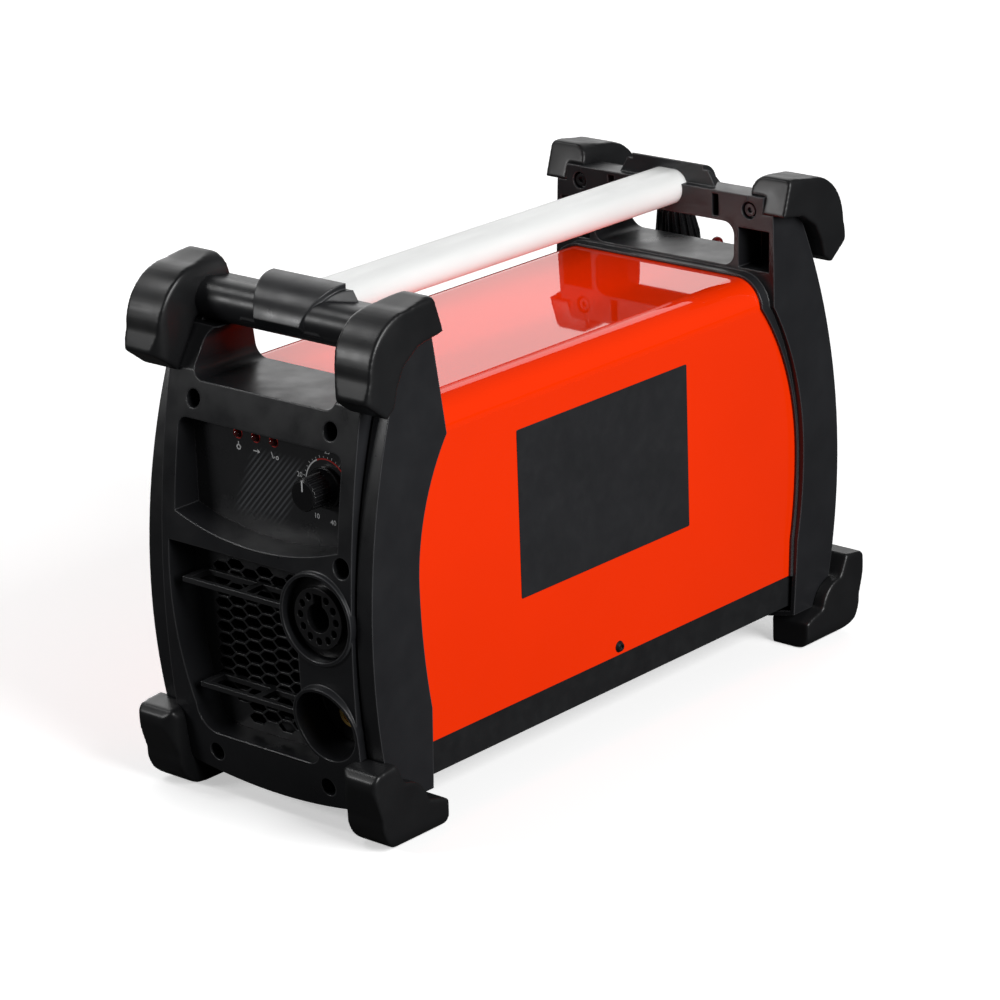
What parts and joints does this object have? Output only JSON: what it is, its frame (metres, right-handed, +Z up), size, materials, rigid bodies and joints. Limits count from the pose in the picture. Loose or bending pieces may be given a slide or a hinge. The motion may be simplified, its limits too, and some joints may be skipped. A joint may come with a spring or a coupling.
{
  "type": "portable plasma cutter unit",
  "caption": "Portable plasma cutter unit with moulded end frames, corner bumpers, folded steel cover, tube handle, control panel, air grille and sockets.",
  "frame": {"origin": "middle of the bounding box's underside, on the ground between the four feet", "axes": "+X to the right seen from the control side, -Y out of the control side, +Z up"},
  "size_m": [0.184, 0.451, 0.305],
  "materials": {
    "frame_plastic": "fine-textured moulding",
    "bumper_rubber": "smooth satin",
    "handle_metal": "satin, pale",
    "cover_paint": "gloss powder coat",
    "pan_paint": "satin powder coat",
    "panel_paint": "matt powder coat",
    "fascia_plastic": "printed film",
    "circuit_board": "solder mask",
    "light_red": "clear tinted",
    "bare_steel": "plated",
    "knob_plastic": "satin",
    "grille_plastic": "satin",
    "socket_plastic": "satin",
    "brass": "turned",
    "rocker_red": "gloss",
    "cast_metal": "cast, painted",
    "hose_blue": "satin tube",
    "sink_aluminium": "extruded",
    "part_plastic": "moulded",
    "core_steel": "varnished",
    "winding_copper": "enamelled",
    "screw_black": "black oxide"
  },
  "bodies": {
    "unit": {"front_frame": "frame_plastic", "rear_frame": "frame_plastic", "handle_tube": "handle_metal", "cover": "cover_paint", "base_pan": "pan_paint", "front_panel": "panel_paint", "rear_panel": "panel_paint", "bumper_front_top_left": "bumper_rubber", "bumper_front_top_right": "bumper_rubber", "bumper_front_low_left": "bumper_rubber", "bumper_front_low_right": "bumper_rubber", "bumper_rear_top_left": "bumper_rubber", "bumper_rear_top_right": "bumper_rubber", "bumper_rear_low_left": "bumper_rubber", "bumper_rear_low_right": "bumper_rubber", "control_fascia": "fascia_plastic", "control_board": "circuit_board", "status_lights": "light_red", "potentiometer": "bare_steel", "air_grille": "grille_plastic", "grille_louvres": "grille_plastic", "torch_socket": "socket_plastic", "torch_socket_nut": "bare_steel", "work_socket": "socket_plastic", "work_socket_contact": "brass", "fan_frame": "socket_plastic", "fan_guard": "bare_steel", "switch_housing": "socket_plastic", "cable_gland": "socket_plastic", "regulator_body": "cast_metal", "port_cap": "rocker_red", "air_inlet": "brass", "solenoid_valve": "cast_metal", "air_hose": "hose_blue", "heat_sink": "sink_aluminium", "power_modules": "part_plastic", "power_board": "circuit_board", "board_spacers": "brass", "capacitors": "part_plastic", "transformer": "core_steel", "output_inductor": "winding_copper", "front_screws": "screw_black", "rear_screws": "screw_black", "cover_screws": "screw_black", "bumper_screws": "screw_black"},
    "current_knob": {"current_knob": "knob_plastic", "potentiometer_shaft": "bare_steel"},
    "fan_rotor": {"fan_rotor": "socket_plastic"},
    "switch_rocker": {"switch_rocker": "rocker_red"},
    "regulator_knob": {"regulator_knob": "knob_plastic"}
  },
  "joints": [
    {"name": "current_knob_turn", "type": "hinge", "parent": "unit", "child": "current_knob", "pos_m": [0.038, -0.195, 0.1965], "axis": [0, -1, 0], "range_deg": [-135, 135]},
    {"name": "fan_spin", "type": "hinge", "parent": "unit", "child": "fan_rotor", "pos_m": [0, 0.16, 0.105], "axis": [0, 1, 0], "continuous": true},
    {"name": "switch_tip", "type": "hinge", "parent": "unit", "child": "switch_rocker", "pos_m": [0.038, 0.18, 0.206], "axis": [1, 0, 0], "range_deg": [-18, 0]},
    {"name": "regulator_knob_turn", "type": "hinge", "parent": "unit", "child": "regulator_knob", "pos_m": [-0.037, 0.2075, 0.228], "axis": [0, -0.1392, 0.9903], "range_deg": [-360, 360]}
  ]
}
